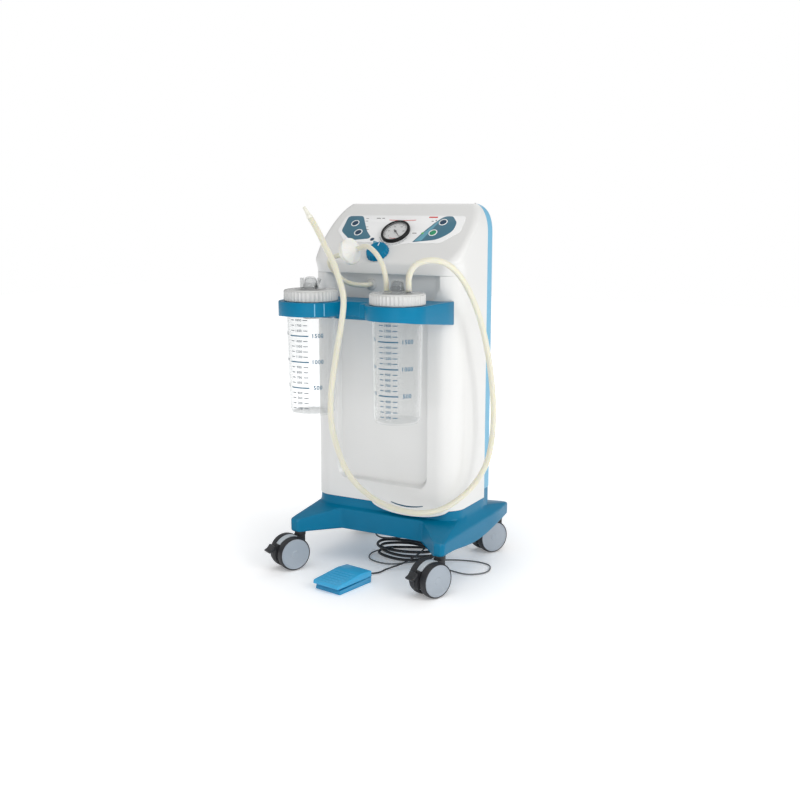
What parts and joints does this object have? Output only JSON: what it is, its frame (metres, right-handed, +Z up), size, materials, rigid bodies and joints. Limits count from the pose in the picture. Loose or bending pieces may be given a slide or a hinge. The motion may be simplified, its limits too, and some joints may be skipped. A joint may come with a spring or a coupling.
{
  "type": "suction pump",
  "caption": "Hospital suction pump on a trolley with graduated collection jars, tilted control panel with vacuum gauge, tubes, twin-wheel castors and a foot switch",
  "frame": {"origin": "on the floor, at the middle of the whole footprint, tubes, castors and foot switch included", "axes": "+Z up, the control panel and jars face -Y, +X to the right seen from the front"},
  "size_m": [0.4889, 0.5848, 0.8501],
  "materials": {
    "white_plastic": "satin white moulded ABS",
    "pale_blue_plastic": "satin light blue moulded ABS",
    "blue_plastic": "satin blue moulded ABS",
    "teal_button": "dark blue button",
    "green_button": "green button",
    "black_plastic": "black nylon",
    "grey_plastic": "light grey polypropylene",
    "disc_grey": "grey castor disc in a soft black tread",
    "clear_plastic": "clear polycarbonate",
    "silicone": "cream silicone",
    "foot_blue": "light blue ABS",
    "steel": "zinc plated steel",
    "cast_metal": "die-cast aluminium",
    "board_green": "solder-mask green",
    "dial_white": "white dial"
  },
  "bodies": {
    "trolley": {"base_moulding": "blue_plastic", "front_shell": "white_plastic", "rear_shell": "pale_blue_plastic", "control_panel": "white_plastic", "gauge_case": "black_plastic", "gauge_dial": "dial_white", "gauge_lens": "clear_plastic", "green_lamp": "green_button", "left_indicator": "teal_button", "jar_holder": "blue_plastic", "jar_2": "clear_plastic", "lid_ring_2": "grey_plastic", "lid_cap_2": "clear_plastic", "vacuum_port": "grey_plastic", "bacterial_filter": "white_plastic", "vacuum_tube_wall": "silicone", "vacuum_tube_jar": "silicone", "patient_tube": "silicone", "tube_tip": "clear_plastic", "foot_switch_base": "foot_blue", "foot_switch_lead": "black_plastic", "mains_cord": "black_plastic", "mains_socket": "black_plastic", "chassis_plate": "steel", "motor_housing": "cast_metal", "crankcase": "cast_metal", "pump_head_1": "cast_metal", "pump_head_2": "cast_metal", "silencer": "black_plastic", "circuit_board": "board_green", "internal_hose": "black_plastic", "regulator_valve": "steel"},
    "jar_1_set": {"jar_1": "clear_plastic", "lid_ring_1": "grey_plastic", "lid_cap_1": "clear_plastic"},
    "float_1": {"float_1": "white_plastic"},
    "float_2": {"float_2": "white_plastic"},
    "knob": {"regulator_knob": "blue_plastic"},
    "needle": {"gauge_needle": "black_plastic"},
    "motor_rotor": {"motor_shaft": "steel", "cooling_fan": "black_plastic"},
    "foot_pedal": {"foot_switch_pedal": "foot_blue"},
    "left_button_upper_cap": {"left_button_upper": "teal_button"},
    "left_button_lower_cap": {"left_button_lower": "teal_button"},
    "right_button_cap": {"right_button": "teal_button"},
    "power_button_cap": {"power_button": "green_button"},
    "castor_front_left": {"castor_fork_front_left": "black_plastic"},
    "wheel_front_left_left_body": {"wheel_front_left_left": "disc_grey"},
    "wheel_front_left_right_body": {"wheel_front_left_right": "disc_grey"},
    "brake_front_left": {"brake_pedal_front_left": "black_plastic"},
    "castor_front_right": {"castor_fork_front_right": "black_plastic"},
    "wheel_front_right_left_body": {"wheel_front_right_left": "disc_grey"},
    "wheel_front_right_right_body": {"wheel_front_right_right": "disc_grey"},
    "brake_front_right": {"brake_pedal_front_right": "black_plastic"},
    "castor_rear_left": {"castor_fork_rear_left": "black_plastic"},
    "wheel_rear_left_left_body": {"wheel_rear_left_left": "disc_grey"},
    "wheel_rear_left_right_body": {"wheel_rear_left_right": "disc_grey"},
    "castor_rear_right": {"castor_fork_rear_right": "black_plastic"},
    "wheel_rear_right_left_body": {"wheel_rear_right_left": "disc_grey"},
    "wheel_rear_right_right_body": {"wheel_rear_right_right": "disc_grey"}
  },
  "joints": [
    {"name": "jar_1_lift", "type": "slide", "parent": "trolley", "child": "jar_1_set", "axis": [0, 0, 1], "range_m": [0, 0.036]},
    {"name": "float_1_rise", "type": "slide", "parent": "jar_1_set", "child": "float_1", "axis": [0, 0, 1], "range_m": [0, 0.008]},
    {"name": "float_2_rise", "type": "slide", "parent": "trolley", "child": "float_2", "axis": [0, 0, 1], "range_m": [0, 0.008]},
    {"name": "knob_turn", "type": "hinge", "parent": "trolley", "child": "knob", "pos_m": [-0.018, -0.07771, 0.73938], "axis": [0, -0.6562, 0.7546], "range_deg": [-270, 0]},
    {"name": "needle_swing", "type": "hinge", "parent": "trolley", "child": "needle", "pos_m": [0, -0.02994, 0.78807], "axis": [0, -0.6562, 0.7546], "range_deg": [0, 270]},
    {"name": "motor_spin", "type": "hinge", "parent": "trolley", "child": "motor_rotor", "pos_m": [0, -0.005, 0.235], "axis": [1, 0, 0], "continuous": true},
    {"name": "foot_pedal_tilt", "type": "hinge", "parent": "trolley", "child": "foot_pedal", "pos_m": [-0.01525, -0.17773, 0.021], "axis": [0.9863, -0.165, 0], "range_deg": [0, 2]},
    {"name": "left_button_upper_press", "type": "slide", "parent": "trolley", "child": "left_button_upper_cap", "axis": [0, 0.6562, -0.7546], "range_m": [0, 0.0015]},
    {"name": "left_button_lower_press", "type": "slide", "parent": "trolley", "child": "left_button_lower_cap", "axis": [0, 0.6562, -0.7546], "range_m": [0, 0.0015]},
    {"name": "right_button_press", "type": "slide", "parent": "trolley", "child": "right_button_cap", "axis": [0, 0.6562, -0.7546], "range_m": [0, 0.0015]},
    {"name": "power_button_press", "type": "slide", "parent": "trolley", "child": "power_button_cap", "axis": [0, 0.6562, -0.7546], "range_m": [0, 0.0015]},
    {"name": "swivel_front_left", "type": "hinge", "parent": "trolley", "child": "castor_front_left", "pos_m": [-0.186, -0.162, 0.09], "axis": [0, 0, 1], "continuous": true},
    {"name": "roll_front_left_left", "type": "hinge", "parent": "castor_front_left", "child": "wheel_front_left_left_body", "pos_m": [-0.19871, -0.18695, 0.04], "axis": [0.891, -0.454, 0], "continuous": true},
    {"name": "roll_front_left_right", "type": "hinge", "parent": "castor_front_left", "child": "wheel_front_left_right_body", "pos_m": [-0.19871, -0.18695, 0.04], "axis": [0.891, -0.454, 0], "continuous": true},
    {"name": "brake_front_left_press", "type": "hinge", "parent": "castor_front_left", "child": "brake_front_left", "pos_m": [-0.21982, -0.22838, 0.0595], "axis": [0.891, -0.454, 0], "range_deg": [0, 14]},
    {"name": "swivel_front_right", "type": "hinge", "parent": "trolley", "child": "castor_front_right", "pos_m": [0.186, -0.162, 0.09], "axis": [0, 0, 1], "continuous": true},
    {"name": "roll_front_right_left", "type": "hinge", "parent": "castor_front_right", "child": "wheel_front_right_left_body", "pos_m": [0.17551, -0.18796, 0.04], "axis": [0.9272, -0.3746, 0], "continuous": true},
    {"name": "roll_front_right_right", "type": "hinge", "parent": "castor_front_right", "child": "wheel_front_right_right_body", "pos_m": [0.17551, -0.18796, 0.04], "axis": [0.9272, -0.3746, 0], "continuous": true},
    {"name": "brake_front_right_press", "type": "hinge", "parent": "castor_front_right", "child": "brake_front_right", "pos_m": [0.15809, -0.23108, 0.0595], "axis": [0.9272, -0.3746, 0], "range_deg": [0, 14]},
    {"name": "swivel_rear_left", "type": "hinge", "parent": "trolley", "child": "castor_rear_left", "pos_m": [-0.17, 0.186, 0.09], "axis": [0, 0, 1], "continuous": true},
    {"name": "roll_rear_left_left", "type": "hinge", "parent": "castor_rear_left", "child": "wheel_rear_left_left_body", "pos_m": [-0.18139, 0.16042, 0.04], "axis": [0.9135, -0.4067, 0], "continuous": true},
    {"name": "roll_rear_left_right", "type": "hinge", "parent": "castor_rear_left", "child": "wheel_rear_left_right_body", "pos_m": [-0.18139, 0.16042, 0.04], "axis": [0.9135, -0.4067, 0], "continuous": true},
    {"name": "swivel_rear_right", "type": "hinge", "parent": "trolley", "child": "castor_rear_right", "pos_m": [0.17, 0.186, 0.09], "axis": [0, 0, 1], "continuous": true},
    {"name": "roll_rear_right_left", "type": "hinge", "parent": "castor_rear_right", "child": "wheel_rear_right_left_body", "pos_m": [0.156, 0.16175, 0.04], "axis": [0.866, -0.5, 0], "continuous": true},
    {"name": "roll_rear_right_right", "type": "hinge", "parent": "castor_rear_right", "child": "wheel_rear_right_right_body", "pos_m": [0.156, 0.16175, 0.04], "axis": [0.866, -0.5, 0], "continuous": true}
  ]
}
